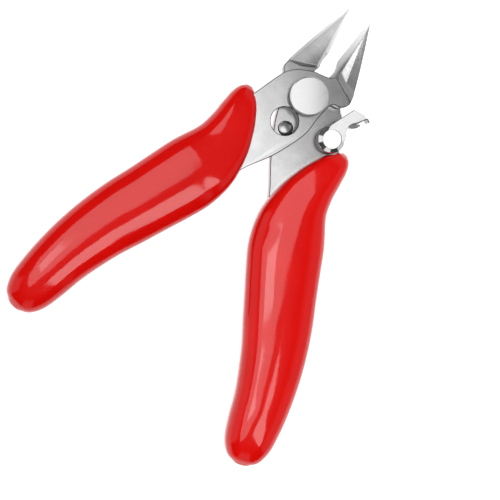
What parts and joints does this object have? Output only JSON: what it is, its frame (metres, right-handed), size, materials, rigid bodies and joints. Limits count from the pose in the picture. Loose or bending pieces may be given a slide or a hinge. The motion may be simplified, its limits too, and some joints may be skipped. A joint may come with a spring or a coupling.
{
  "type": "diagonal cutting pliers",
  "caption": "Small spring-opened micro-shear pliers with tapered flush-cutting jaws, a riveted lap pivot, dipped plastic grips and a swinging lock catch.",
  "frame": {"origin": "on the pivot axis, at the flat back end of the pivot rivet, which lies in the plane that the tool rests on", "axes": "+Z along the pivot axis, out of the front; +Y towards the jaw tips, along the line that halves the open jaws; +X to the side of the grip that carries the catch"},
  "size_m": [0.0628, 0.0913, 0.009],
  "materials": {
    "satin_steel": "fine bead-blasted and ground tool steel, satin",
    "bright_steel": "machined and polished steel",
    "chrome": "polished nickel-chrome plating",
    "spring_steel": "plain drawn spring wire",
    "red_pvc": "glossy dipped soft PVC"
  },
  "bodies": {
    "rear_half": {"rear_lever": "satin_steel", "right_grip": "red_pvc", "pivot_rivet": "bright_steel", "pivot_collar": "bright_steel", "stop_pin": "bright_steel", "return_spring": "spring_steel", "catch_washer": "spring_steel", "catch_stud": "bright_steel"},
    "front_half": {"front_lever": "satin_steel", "left_grip": "red_pvc"},
    "catch": {"catch_lever": "chrome"}
  },
  "joints": [
    {"name": "jaw_pivot", "type": "hinge", "parent": "rear_half", "child": "front_half", "pos_m": [0, 0, 0], "axis": [0, 0, 1], "range_deg": [0, 12], "stiffness_Nm_per_rad": 1.2, "springref_deg": -6.88, "deforming": ["return_spring"]},
    {"name": "catch_swing", "type": "hinge", "parent": "rear_half", "child": "catch", "pos_m": [0.00868, -0.0046, 0], "axis": [0, 0, 1], "range_deg": [-20, 10]}
  ]
}
